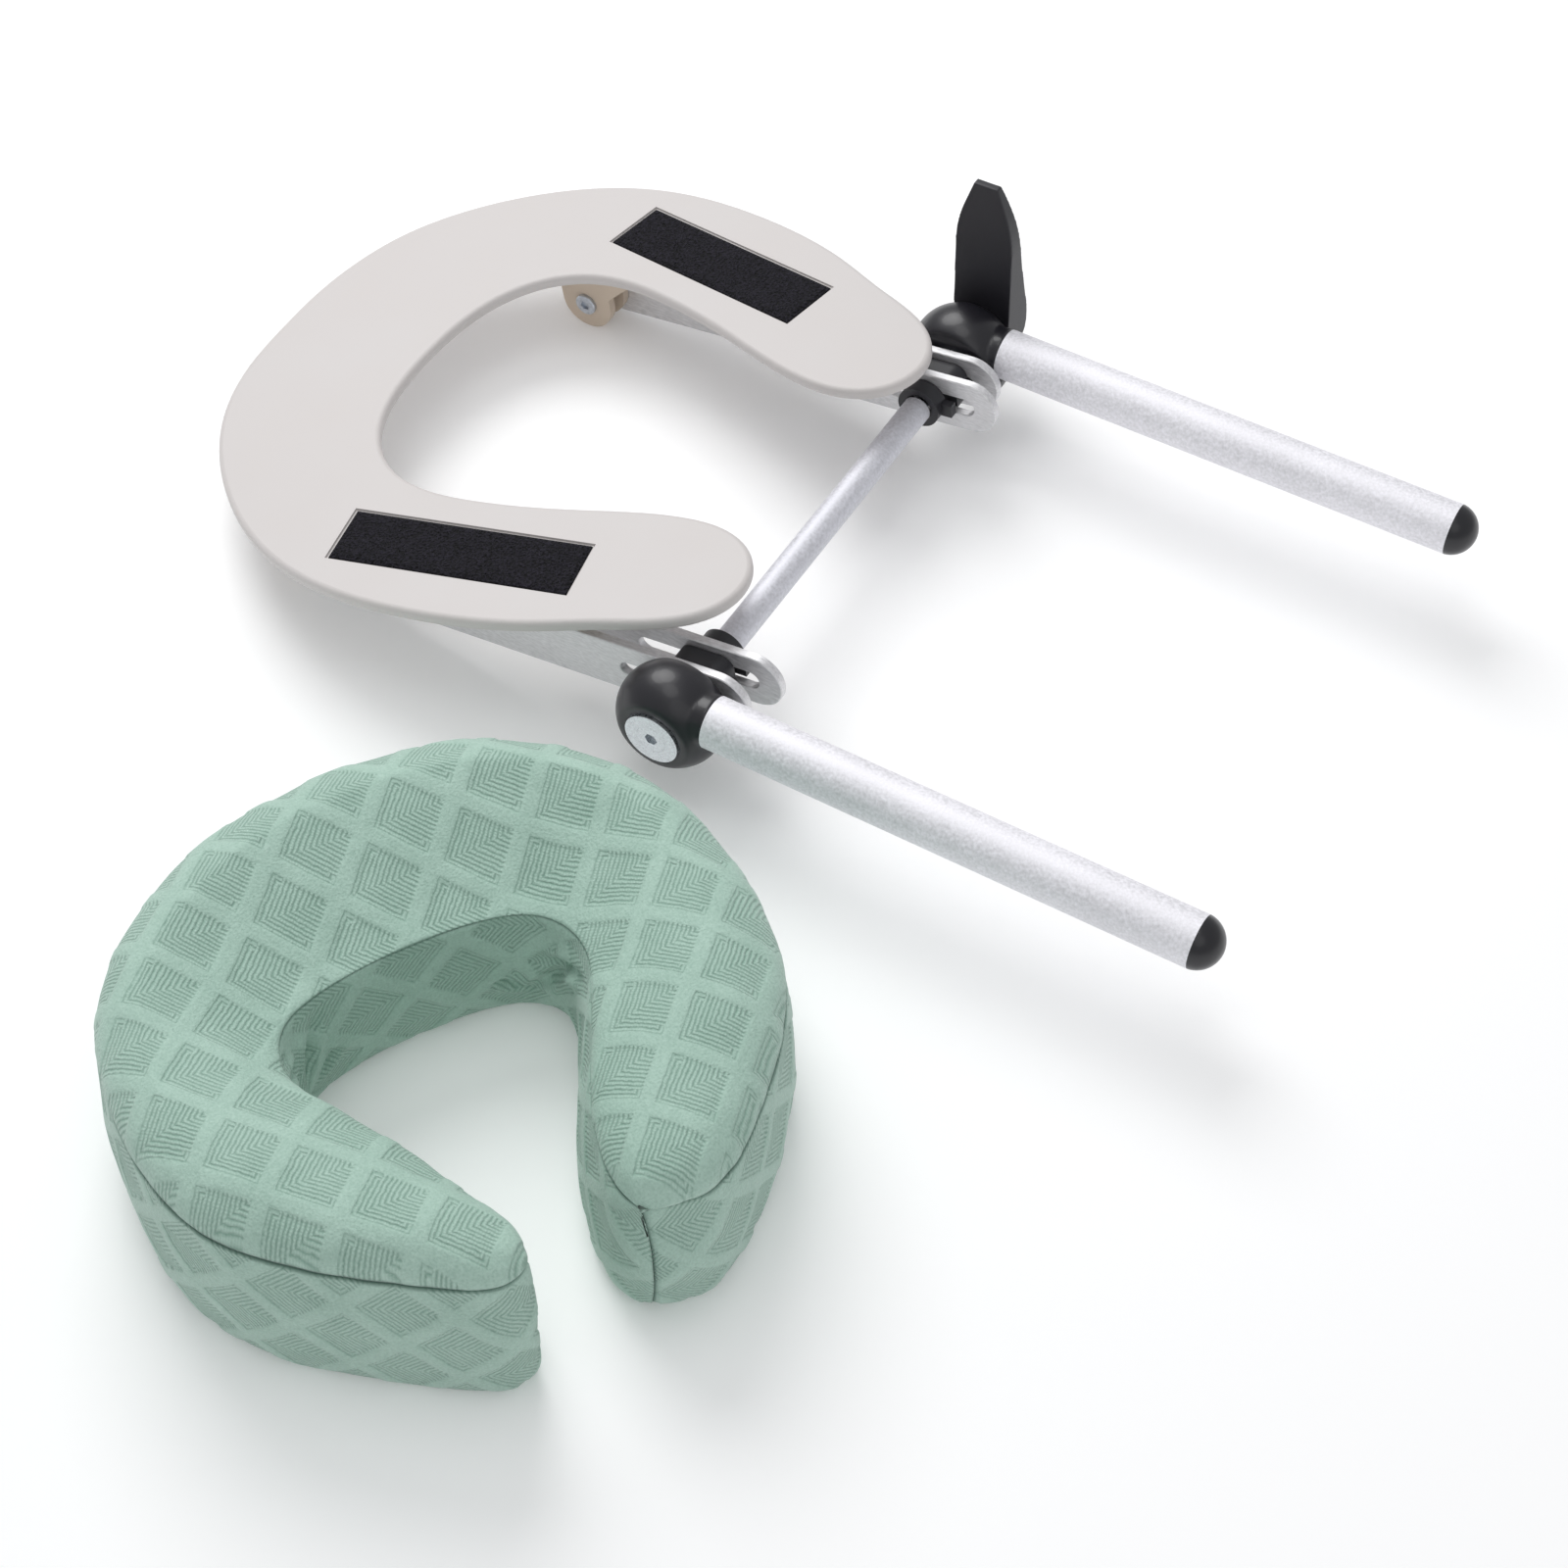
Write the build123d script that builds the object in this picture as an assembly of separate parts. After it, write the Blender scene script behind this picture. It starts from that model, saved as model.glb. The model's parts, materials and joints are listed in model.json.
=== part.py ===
"""Adjustable face cradle with its removable face cushion, lying beside it.

Millimetres. +X runs along the two posts towards their free ends, +Y from the
near post to the far post (the cam lever's side), +Z up. The origin is the
middle of the whole set's footprint, on the floor.
"""
import math
import os

from build123d import *

# ---- posts and hubs -------------------------------------------------------
post_radius = 11.0
post_wall = 1.5
post_half_spacing = 122.5
post_start = 20.2            # along X from the pivot axis
post_end = 229.7
post_rise = 8.0              # height of the post axis above the pivot axis
cap_dome = 10.0
cap_plug = 15.0
hub_inner = 109.5            # distance of the hub's inner face from the middle
hub_width = 26.3
hub_face_radius = 19.0
hub_radius = 23.0
hub_outer_radius = 16.0
spigot_length = 40.0
spigot_gap = 0.05
seat_gap = 0.8               # round the tube's end, where the hub's bulge is cut back

# ---- pivot ----------------------------------------------------------------
bolt_radius = 3.0
running_gap = 0.05
side_gap = 0.3
head_radius = 6.5
head_depth = 1.3
hex_size = 5.0
hex_depth = 2.6
washer_radius = 12.0
washer_thickness = 2.2
washer_recess = 1.0
thrust_radius = 11.0
thrust_thickness = 1.5
tube_radius = 6.25
tube_half = 80.0

# ---- plates ---------------------------------------------------------------
plate_thickness = 4.0
plate_half_height = 12.75
link_inner = 88.6
strut_inner = 103.5
strut_tilt = 8.18            # degrees, front end down
strut_length = 178.5         # pivot to front pin
strut_overhang = 14.0        # past the pivot, to the round end's centre
strut_slot = (-30.0, 12.0)
strut_slot_half = 3.3
link_length = 65.0           # pivot to rear pin, at rest
link_overhang = 21.0
link_tail = 14.0             # past the rear pin
link_slot = (-30.0, 19.0)
link_slot_half = 4.15
pin_radius = 3.0
pin_head_radius = 5.2
pin_head = 1.8
collar_radius = 9.8
collar_length = 7.5
spacer_size = (25.0, 19.0)

# ---- platform -------------------------------------------------------------
platform_top = 31.44         # above the pivot, square to the struts
platform_thickness = 6.0
platform_round = 2.2
platform_outline = (         # one half, from the front middle to the inner middle
    (-273.5, 0.0), (-271.0, 36.0), (-260.5, 69.0), (-241.0, 97.0), (-214.0, 120.5),
    (-183.0, 136.5), (-150.0, 143.0), (-117.0, 141.5), (-86.0, 135.5), (-59.5, 126.5),
    (-36.0, 115.5), (-12.0, 104.5), (4.0, 91.0), (9.5, 74.5), (3.5, 57.5),
    (-13.0, 47.5), (-36.0, 47.5), (-60.0, 54.0), (-90.0, 64.5), (-120.0, 72.5),
    (-145.0, 75.5), (-165.0, 71.5), (-182.0, 59.0), (-193.5, 38.0), (-198.5, 0.0),
)
strip_length = 107.0
strip_width = 29.0
strip_thickness = 1.4
strip_recess = 1.0
strip_margin = 1.0
strip_x = -109.8
strip_y = 102.3
strip_turn = 11.3            # degrees, narrowing towards the tips
cheek_radius = 12.9
cheek_inner = 88.0
cheek_thickness = 4.0
front_cheek_outer = 99.2
bracket_base = 3.0
front_base = (-18.0, 34.0)   # along the platform, from the front pin
rear_base = (-17.0, 17.0)
rear_cheek_inner = 92.9
rear_cheek_thickness = 5.0
rear_cheek_radius = 9.0
screw_radius = 2.6
screw_head = 1.6

# ---- cam lever ------------------------------------------------------------
lever_width = 27.5
lever_head_radius = 9.2
lever_gap = 0.7              # from the cam washer to the lever's face
lever_bolt_gap = 1.0
lever_height = 80.0
lever_top_width = 11.0
lever_shoulder = 57.0
lever_shoulder_round = 66.0
lever_top_thickness = 3.6
lever_mid_thickness = 8.0
lever_lean = 1.5             # degrees, towards the front
cam_washer_thickness = 1.5
cam_pin_radius = 4.0
cam_pin_length = 20.0

# ---- cushion --------------------------------------------------------------
cushion_place = (33.0, -305.6)   # from the pivot's middle to the cushion's centre
cushion_turn = -32.5             # degrees, the way its opening points
cushion_centre = -28.5           # along the opening's axis
cushion_back = 108.5
cushion_front = 122.0
cushion_half_width = 122.5
cushion_power = 2.3
tip = (92.5, 21.0)
face_hole = (                # one half, from the tip to the middle of the back
    (79.0, 18.5), (61.0, 21.0), (37.0, 27.5), (15.0, 36.5), (0.0, 45.0),
    (-15.0, 53.0), (-29.0, 55.5), (-41.5, 48.5), (-48.5, 31.0), (-51.5, 0.0),
)
cloth = 2.5
seam_height = 68.0
crown_height = 86.0
crown_inset = 19.0
loop_strip = (96.0, 25.0, 1.1)
loop_strip_place = (-14.0, 86.0)
loop_strip_turn = 4.0
strip_lift = 0.1             # of the trim on the cushion's base above the floor
zip_length = 110.0
zip_tape_width = 18.0
zip_slider_size = (9.0, 7.0, 1.7)
puller_size = (14.0, 5.0, 0.7)
zip_place = -96.0

sides = {"near": -1, "far": 1}
pivot_height = strut_length * math.sin(math.radians(strut_tilt)) + cheek_radius
hub_outer = hub_inner + hub_width
to_cradle = Pos(0, 0, pivot_height)
to_struts = to_cradle * Rot(0, -strut_tilt, 0)


def along_y(radius, start, end, bore=0.0):
    """A round piece or ring on the Y axis, from start to end."""
    length = end - start
    piece = Cylinder(radius, length)
    if bore:
        piece = piece - Cylinder(bore, length)
    return Pos(0, (start + end) / 2, 0) * Rot(90, 0, 0) * piece


def plate(outline, start, end):
    """A flat piece square to Y, from an outline in X and Z."""
    flat = Plane.XZ.offset(-end) * outline
    return extrude(flat, end - start, dir=(0, -1, 0))


def on_side(piece, side):
    """The piece as modelled for the far side, or mirrored for the near one."""
    return piece if sides[side] > 0 else mirror(piece, about=Plane.XZ)


def capsule(start, end, half_height):
    """A flat bar with round ends, whose arcs are centred on start and end."""
    bar = Pos((start + end) / 2, 0) * Rectangle(end - start, 2 * half_height)
    return bar + Pos(start, 0) * Circle(half_height) + Pos(end, 0) * Circle(half_height)


# ---- posts, hubs and pivot ------------------------------------------------
def make_post():
    length = post_end - post_start
    tube = Cylinder(post_radius, length) - Cylinder(post_radius - post_wall, length)
    middle = (post_start + post_end) / 2
    return Pos(middle, post_half_spacing, post_rise) * Rot(0, 90, 0) * tube


def make_post_cap():
    plug_radius = post_radius - post_wall
    ball_radius = (post_radius ** 2 + cap_dome ** 2) / (2 * cap_dome)
    half_way = (math.pi / 2 + math.asin((ball_radius - cap_dome) / ball_radius)) / 2
    shoulder = (ball_radius * math.cos(half_way), cap_dome - ball_radius + ball_radius * math.sin(half_way))
    outline = ThreePointArc((post_radius, 0), shoulder, (0, cap_dome))
    outline += Polyline((0, cap_dome), (0, -cap_plug), (plug_radius, -cap_plug), (plug_radius, 0), (post_radius, 0))
    cap = revolve(Plane.XZ * make_face(outline), Axis.Z)
    return Pos(post_end, post_half_spacing, post_rise) * Rot(0, 90, 0) * cap


def make_hub(recess_radius, recess_depth):
    bulge = ThreePointArc((hub_face_radius, 0), (hub_radius, hub_width * 0.5), (hub_outer_radius, hub_width))
    outline = Line((0, 0), (hub_face_radius, 0)) + bulge
    outline += Line((hub_outer_radius, hub_width), (0, hub_width)) + Line((0, hub_width), (0, 0))
    barrel = revolve(Plane.XZ * make_face(outline), Axis.Z)
    barrel = Pos(0, hub_inner, 0) * Rot(-90, 0, 0) * barrel
    root = Plane(origin=(4, post_half_spacing, post_rise * 0.6), z_dir=(1, 0, 0)) * Circle(post_radius + 1.6)
    mouth = Plane(origin=(post_start, post_half_spacing, post_rise), z_dir=(1, 0, 0)) * Circle(post_radius)
    neck = loft([root, mouth])
    seat = Pos((post_start + hub_radius) / 2 + 2, post_half_spacing, post_rise) * Rot(0, 90, 0) * Cylinder(
        post_radius + seat_gap, hub_radius - post_start + 4)
    spigot = Cylinder(post_radius - post_wall - spigot_gap, spigot_length + post_start)
    spigot = Pos((post_start + spigot_length) / 2, post_half_spacing, post_rise) * Rot(0, 90, 0) * spigot
    hub = barrel - seat + neck + spigot
    hub -= along_y(bolt_radius + running_gap, hub_inner - 1, hub_outer + 1)
    return hub - along_y(recess_radius, hub_outer - recess_depth, hub_outer + 5)


def make_head_washer():
    outer_face = hub_outer - washer_recess + washer_thickness
    ring = along_y(washer_radius, hub_outer - washer_recess, outer_face, bolt_radius + running_gap)
    ring = fillet(ring.edges().filter_by(GeomType.CIRCLE).sort_by(Axis.Y)[-1:], 0.5)
    return ring - along_y(head_radius + running_gap, outer_face - head_depth, outer_face + 1)


def make_pivot_bolt():
    outer_face = hub_outer - washer_recess + washer_thickness
    head = on_side(along_y(head_radius, outer_face - head_depth, outer_face), "near")
    shaft = along_y(bolt_radius, -(outer_face - head_depth), cam_pin_place()[1])
    socket = Plane.XZ.offset(outer_face) * RegularPolygon(hex_size / 2, 6, major_radius=False)
    return head + shaft - extrude(socket, -hex_depth)


def make_thrust_washer():
    outer = hub_inner - running_gap
    return along_y(thrust_radius, outer - thrust_thickness, outer, bolt_radius + running_gap)


def make_cross_tube():
    return along_y(tube_radius, -tube_half, tube_half, bolt_radius + side_gap)


def make_collar():
    """A saddle over the tube's end, open at the lower front, with a square key."""
    end = link_inner - side_gap
    ring = along_y(collar_radius, end - collar_length, end, tube_radius + side_gap)
    opening = Pos(-collar_radius * 0.72, end, -collar_radius * 0.9) * Box(
        collar_radius * 1.3, collar_length * 4, collar_radius * 1.3)
    key = Pos(collar_radius + 1, end - 2, -1) * Box(7, 4, 6)
    return ring - opening + (key - along_y(tube_radius + side_gap, 0, end))


def make_spacer():
    start = link_inner + plate_thickness + side_gap
    end = strut_inner - side_gap
    block = plate(RectangleRounded(*spacer_size, 6), start, end)
    return block - along_y(bolt_radius + running_gap, start - 1, end + 1)


# ---- plates ---------------------------------------------------------------
def make_strut():
    outline = capsule(-strut_length, strut_overhang, plate_half_height)
    outline -= capsule(*strut_slot, strut_slot_half)
    outline -= Pos(-strut_length, 0) * Circle(pin_radius + running_gap)
    bar = plate(outline, strut_inner, strut_inner + plate_thickness)
    return chamfer(bar.faces().filter_by(Axis.Y).edges(), 0.4)


def make_link():
    tail = -link_length - link_tail
    outline = Polygon((tail, plate_half_height), (tail, -plate_half_height * 0.35),
                      (tail + 9, -plate_half_height), (0, -plate_half_height), (0, plate_half_height), align=None)
    outline += capsule(-link_length / 2, link_overhang, plate_half_height)
    outline -= capsule(*link_slot, link_slot_half)
    outline -= Pos(-link_length, 0) * Circle(pin_radius + running_gap)
    bar = plate(outline, link_inner, link_inner + plate_thickness)
    return chamfer(bar.faces().filter_by(Axis.Y).edges(), 0.4)


def make_pin(place, inner_face, outer_face):
    """A headed pin across from inner_face to outer_face, with heads outside them."""
    pin = along_y(pin_radius, inner_face - pin_head / 2, outer_face + pin_head / 2)
    inner_head = along_y(pin_head_radius, inner_face - pin_head, inner_face)
    outer_head = along_y(pin_head_radius, outer_face, outer_face + pin_head)
    inner_head = fillet(inner_head.edges().sort_by(Axis.Y)[:1], 0.7)
    outer_head = fillet(outer_head.edges().sort_by(Axis.Y)[-1:], 0.7)
    socket = Plane.XZ.offset(-inner_face + pin_head) * RegularPolygon(2.0, 6, major_radius=False)
    return Pos(place, 0, 0) * (inner_head + pin + outer_head - extrude(socket, -1.2))


# ---- platform -------------------------------------------------------------
def make_platform():
    near_half = [(x, -y) for x, y in reversed(platform_outline[1:-1])]
    rim_line = Spline(*platform_outline, *near_half, periodic=True)
    board = extrude(make_face(rim_line), platform_thickness)
    board = Pos(0, 0, platform_top - platform_thickness) * board
    rims = board.edges().filter_by(lambda edge: edge.length > 50)
    board = fillet(rims, platform_round)
    for side in sides:
        board -= strip_box(side, strip_recess, strip_margin, platform_top - strip_recess)
    return board


def strip_box(side, thickness, margin, bottom):
    size = (strip_length + 2 * margin, strip_width + 2 * margin, thickness)
    turn = Rot(0, 0, -sides[side] * strip_turn)
    return Pos(strip_x, sides[side] * strip_y, bottom + thickness / 2) * turn * Box(*size)


def bracket_cheek(radius, half_width, foot, inner, thickness):
    underside = platform_top - platform_thickness
    outline = Circle(radius) + Pos(0, underside / 2) * Rectangle(2 * half_width, underside)
    outline += Polygon((0, underside), (foot, underside), (foot, underside - bracket_base),
                       (half_width, 5), (0, 5), align=None)
    outline -= Circle(pin_radius + running_gap)
    return plate(outline, inner, inner + thickness)


def make_front_bracket():
    underside = platform_top - platform_thickness
    width = front_cheek_outer + cheek_thickness - cheek_inner
    middle = cheek_inner + width / 2
    base = Pos(sum(front_base) / 2, middle, underside - bracket_base / 2) * Box(
        front_base[1] - front_base[0], width, bracket_base)
    inner = bracket_cheek(cheek_radius, cheek_radius, front_base[1], cheek_inner, cheek_thickness)
    outer = bracket_cheek(cheek_radius, cheek_radius, front_base[1], front_cheek_outer, cheek_thickness)
    return Pos(-strut_length, 0, 0) * (base + inner + outer)


def make_rear_bracket():
    underside = platform_top - platform_thickness
    width = strut_inner - side_gap - rear_cheek_inner
    base = Pos(0, rear_cheek_inner + width / 2, underside - bracket_base / 2) * Box(
        rear_base[1] - rear_base[0], width, bracket_base)
    cheek = bracket_cheek(rear_cheek_radius, rear_cheek_radius, rear_base[1],
                          rear_cheek_inner, rear_cheek_thickness)
    return Pos(-link_length, 0, 0) * (base + cheek)


def make_bracket_screws():
    top = platform_top - platform_thickness - bracket_base
    front_row = (cheek_inner + cheek_thickness + front_cheek_outer) / 2
    rear_row = strut_inner - side_gap - screw_radius
    places = [(-strut_length + x, front_row) for x in (-9.0, 9.0, 24.0)]
    places += [(-link_length + x, rear_row) for x in (-12.0, 12.0)]
    head = Pos(0, 0, top - screw_head / 2) * Cylinder(screw_radius, screw_head)
    head -= Pos(0, 0, top - screw_head) * Box(3.2, 0.8, 1.2) + Pos(0, 0, top - screw_head) * Box(0.8, 3.2, 1.2)
    return [Pos(x, sides[side] * y, 0) * head for side in sides for x, y in places]


# ---- cam lever ------------------------------------------------------------
def cam_pin_place():
    return (0.0, hub_outer + cam_washer_thickness + lever_gap + lever_head_radius, 0.0)


def make_cam_washer():
    return along_y(thrust_radius, hub_outer, hub_outer + cam_washer_thickness, bolt_radius + running_gap)


def make_cam_pin():
    pin = Rot(0, 90, 0) * Cylinder(cam_pin_radius, cam_pin_length)
    place = cam_pin_place()
    socket = along_y(bolt_radius + running_gap, place[1] - cam_pin_radius - 1, place[1])
    return Pos(*place) * pin - socket


def make_cam_lever():
    """A flat-faced paddle with a curved back, on a round head with a bolt slot."""
    radius = lever_head_radius
    face = -radius
    side_line = Line((face, 0), (face, lever_height))
    side_line += Line((face, lever_height), (face + lever_top_thickness, lever_height))
    side_line += Spline((face + lever_top_thickness, lever_height),
                        (face + lever_mid_thickness, lever_height * 0.66),
                        (radius * 0.72, lever_height * 0.2), (radius, 0), tangents=((0.3, -1), (0, -1)))
    side_line += ThreePointArc((radius, 0), (0, -radius), (face, 0))
    slab = extrude(Plane.YZ * make_face(side_line), lever_width / 2, both=True)
    half, top_half = lever_width / 2, lever_top_width / 2
    front = Polygon((-half, -radius - 1), (half, -radius - 1), (half, lever_shoulder),
                    (top_half, lever_height + 0.5), (-top_half, lever_height + 0.5),
                    (-half, lever_shoulder), align=None)
    front = fillet(front.vertices().group_by(Axis.Y)[1], lever_shoulder_round)
    lever = slab & extrude(Plane.XZ * front, 2 * radius, both=True)
    lever = Rot(0, -lever_lean, 0) * lever
    lever -= Rot(0, 90, 0) * Cylinder(cam_pin_radius + running_gap, cam_pin_length + 2 * side_gap)
    room = bolt_radius + lever_bolt_gap
    reach = radius + 2 + room
    lever -= Pos(0, room - reach / 2, room - reach / 2) * Box(2 * room, reach, reach)
    return Pos(*cam_pin_place()) * lever


# ---- cushion --------------------------------------------------------------
def outer_line(inset):
    """The cushion's outer outline, from tip to tip round the back, as points."""
    points = []
    tip_turn = math.asin((tip[1] / cushion_half_width) ** (cushion_power / 2)) + 0.055
    steps = 8
    for step in range(1, 2 * steps):
        turn = tip_turn + (2 * math.pi - 2 * tip_turn) * step / (2 * steps)
        across, along = math.sin(turn), math.cos(turn)
        reach = cushion_front if along > 0 else cushion_back
        power = cushion_power if along > 0 else 2.0
        x = cushion_centre + math.copysign((reach - inset) * abs(along) ** (2 / power), along)
        y = math.copysign((cushion_half_width - inset) * abs(across) ** (2 / power), across)
        points.append((x, y))
    return points


def inner_line(inset):
    """The face hole's outline, from tip to tip, moved outwards by inset."""
    half = list(face_hole)
    full = half + [(x, -y) for x, y in reversed(half[:-1])]
    ends = [tip] + full + [(tip[0], -tip[1])]
    moved = []
    for before, point, after in zip(ends, full, ends[2:]):
        run_x, run_y = after[0] - before[0], after[1] - before[1]
        size = math.hypot(run_x, run_y)
        moved.append((point[0] + inset * run_y / size, point[1] - inset * run_x / size))
    return moved


def horseshoe(inset, height):
    """A flat horseshoe with pointed tips, drawn in from the full outline by inset."""
    corner = (tip[0] - 1.0 * inset, tip[1] + 1.1 * inset)
    other = (corner[0], -corner[1])
    outer_points = [(x, y) for x, y in outer_line(inset) if x < 0 or abs(y) > corner[1] + 6]
    inner_points = [(x, y) for x, y in inner_line(inset) if x < corner[0] - 6]
    outer = Spline(corner, *outer_points, other)
    inner = Spline(other, *reversed(inner_points), corner)
    return Pos(0, 0, height) * make_face(outer + inner)


def make_foam_core():
    block = extrude(horseshoe(cloth, cloth), seam_height - cloth)
    crown = loft([horseshoe(cloth, seam_height), horseshoe(crown_inset + cloth, crown_height - cloth)], ruled=True)
    return block + crown


def make_top_panel():
    dome = loft([horseshoe(0, seam_height), horseshoe(crown_inset, crown_height)], ruled=True)
    room = loft([horseshoe(cloth, seam_height), horseshoe(crown_inset + cloth, crown_height - cloth)], ruled=True)
    return dome - room


def make_band(outer_side):
    """The cover's side wall: the ring outside the core, cut at the two tips."""
    ring = extrude(horseshoe(0, cloth), seam_height - cloth) - extrude(horseshoe(cloth, cloth), seam_height - cloth)
    middle_line = [(tip[0] + 30, tip[1] + 3), tip, (tip[0] - 12, tip[1] + 8), (40, 62), (-20, 88), (-94, 0)]
    middle = middle_line + [(x, -y) for x, y in reversed(middle_line[:-1])]
    inside = extrude(Polygon(*middle, align=None), 2 * crown_height, both=True)
    return ring - inside if outer_side else ring & inside


def make_base_panel():
    panel = extrude(horseshoe(0, 0), cloth)
    for side in sides:
        panel -= Pos(0, 0, 2 * strip_lift) * loop_strip_box(side, 0.2) + loop_strip_box(side, 0.2)
    tape = Pos(zip_place, 0, 0) * Box(zip_tape_width + 0.4, zip_length + 0.4, 2 * zip_tape_thickness())
    slider = Pos(zip_place, -zip_length / 2 + 12, 0) * Box(
        zip_slider_size[1] + 2, puller_size[0] + zip_slider_size[0] + 6, 2 * (cloth - 0.3))
    return panel - tape - slider


def loop_strip_box(side, margin):
    length, width, thickness = loop_strip
    turn = Rot(0, 0, -sides[side] * loop_strip_turn)
    box = Box(length + 2 * margin, width + 2 * margin, thickness)
    return Pos(loop_strip_place[0], sides[side] * loop_strip_place[1], thickness / 2) * turn * box


def zip_tape_thickness():
    return 1.0


def make_zip_tape():
    thickness = zip_tape_thickness()
    tape = Pos(zip_place, 0, thickness / 2 + 0.1) * Box(zip_tape_width, zip_length, thickness - 0.2)
    notch = Pos(zip_place, -zip_length / 2 + 12, 0) * Box(
        zip_slider_size[1] + 2, puller_size[0] + zip_slider_size[0] + 6, 4)
    return tape - notch


def make_zip_slider():
    depth, width, height = zip_slider_size
    body = Box(width, depth, height)
    body = fillet(body.edges().filter_by(Axis.Z), 1.5)
    return Pos(zip_place, -zip_length / 2 + 18, height / 2 + 0.3) * body


def make_zip_puller():
    length, width, thickness = puller_size
    tab = fillet(Box(width, length, thickness).edges().filter_by(Axis.Z), 2)
    tab -= Pos(0, -length * 0.22, 0) * Cylinder(1.2, thickness)
    reach = zip_slider_size[0] / 2 + length / 2 + 0.1
    return Pos(zip_place, -zip_length / 2 + 18 - reach, 1.2) * tab


# ---- the whole set --------------------------------------------------------
def add_cradle(nodes):
    for side in sides:
        recess = washer_radius + running_gap if side == "near" else bolt_radius + running_gap
        nodes[f"{side}_post"] = to_cradle * on_side(make_post(), side)
        nodes[f"{side}_post_cap"] = to_cradle * on_side(make_post_cap(), side)
        nodes[f"{side}_hub"] = to_cradle * on_side(make_hub(recess, washer_recess), side)
        nodes[f"{side}_thrust_washer"] = to_cradle * on_side(make_thrust_washer(), side)
    nodes["head_washer"] = to_cradle * on_side(make_head_washer(), "near")
    nodes["pivot_bolt"] = to_cradle * make_pivot_bolt()
    nodes["cross_tube"] = to_cradle * make_cross_tube()
    nodes["cam_washer"] = to_cradle * make_cam_washer()
    nodes["cam_pin"] = to_cradle * make_cam_pin()
    nodes["cam_lever"] = to_cradle * make_cam_lever()


def add_struts(nodes):
    for side in sides:
        nodes[f"{side}_strut"] = to_struts * on_side(make_strut(), side)
        nodes[f"{side}_spacer"] = to_struts * on_side(make_spacer(), side)
        nodes[f"{side}_collar"] = to_struts * on_side(make_collar(), side)
        nodes[f"{side}_link"] = to_struts * on_side(make_link(), side)


def add_platform(nodes):
    nodes["platform"] = to_struts * make_platform()
    bottom = platform_top - strip_recess
    front_pin_outer = strut_inner + plate_thickness + side_gap
    rear_pin_outer = rear_cheek_inner + rear_cheek_thickness
    for side in sides:
        nodes[f"{side}_hook_strip"] = to_struts * strip_box(side, strip_thickness, 0, bottom)
        nodes[f"{side}_front_bracket"] = to_struts * on_side(make_front_bracket(), side)
        nodes[f"{side}_rear_bracket"] = to_struts * on_side(make_rear_bracket(), side)
        front_pin = make_pin(-strut_length, cheek_inner, front_pin_outer)
        rear_pin = make_pin(-link_length, link_inner - side_gap, rear_pin_outer)
        nodes[f"{side}_front_pin"] = to_struts * on_side(front_pin, side)
        nodes[f"{side}_rear_pin"] = to_struts * on_side(rear_pin, side)
    nodes["bracket_screws"] = to_struts * Compound(make_bracket_screws())


def add_cushion(nodes):
    place = Pos(*cushion_place, 0) * Rot(0, 0, cushion_turn)
    nodes["foam_core"] = place * make_foam_core()
    nodes["top_panel"] = place * make_top_panel()
    nodes["outer_band"] = place * make_band(True)
    nodes["inner_band"] = place * make_band(False)
    nodes["base_panel"] = place * make_base_panel()
    for side in sides:
        nodes[f"{side}_loop_strip"] = place * Pos(0, 0, strip_lift) * loop_strip_box(side, 0)
    nodes["zip_tape"] = place * make_zip_tape()
    nodes["zip_slider"] = place * make_zip_slider()
    nodes["zip_puller"] = place * make_zip_puller()


def footprint_middle(nodes):
    box = Compound(list(nodes.values())).bounding_box()
    return ((box.min.X + box.max.X) / 2, (box.min.Y + box.max.Y) / 2, box.min.Z)


set_nodes = {}
add_cradle(set_nodes)
add_struts(set_nodes)
add_platform(set_nodes)
add_cushion(set_nodes)
middle_x, middle_y, lowest = footprint_middle(set_nodes)
print("footprint middle and lowest point", middle_x, middle_y, lowest)

os.makedirs("parts", exist_ok=True)
for node_name, node_shape in set_nodes.items():
    export_step(Pos(-middle_x, -middle_y, -lowest) * node_shape, f"parts/{node_name}.step")
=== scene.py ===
"""Looks for the adjustable face cradle and its removable face cushion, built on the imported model."""
import json
import math

import bmesh
import bpy
import numpy as np
from mathutils import Matrix, Vector, noise


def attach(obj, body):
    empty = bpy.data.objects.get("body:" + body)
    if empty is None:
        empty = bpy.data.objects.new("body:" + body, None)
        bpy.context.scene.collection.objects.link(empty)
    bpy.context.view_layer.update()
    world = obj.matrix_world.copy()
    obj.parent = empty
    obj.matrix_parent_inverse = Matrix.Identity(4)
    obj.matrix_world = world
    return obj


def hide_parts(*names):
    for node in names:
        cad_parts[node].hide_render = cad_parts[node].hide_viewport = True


MM = 0.001

# ---- the frame's own places (millimetres and degrees, as in the CAD source) ----
STRUT_TILT = 8.18
STRIP_PLACE = (-109.8, 102.3, 30.5)      # along, across and above the pivot, square to the struts
STRIP_TURN = 11.3
STRIP_SIZE = (107.0, 29.0)
STRIP_GRID = (260, 72)
CUSHION_PLACE = (33.0, -305.6)
CUSHION_TURN = -32.5

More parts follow.
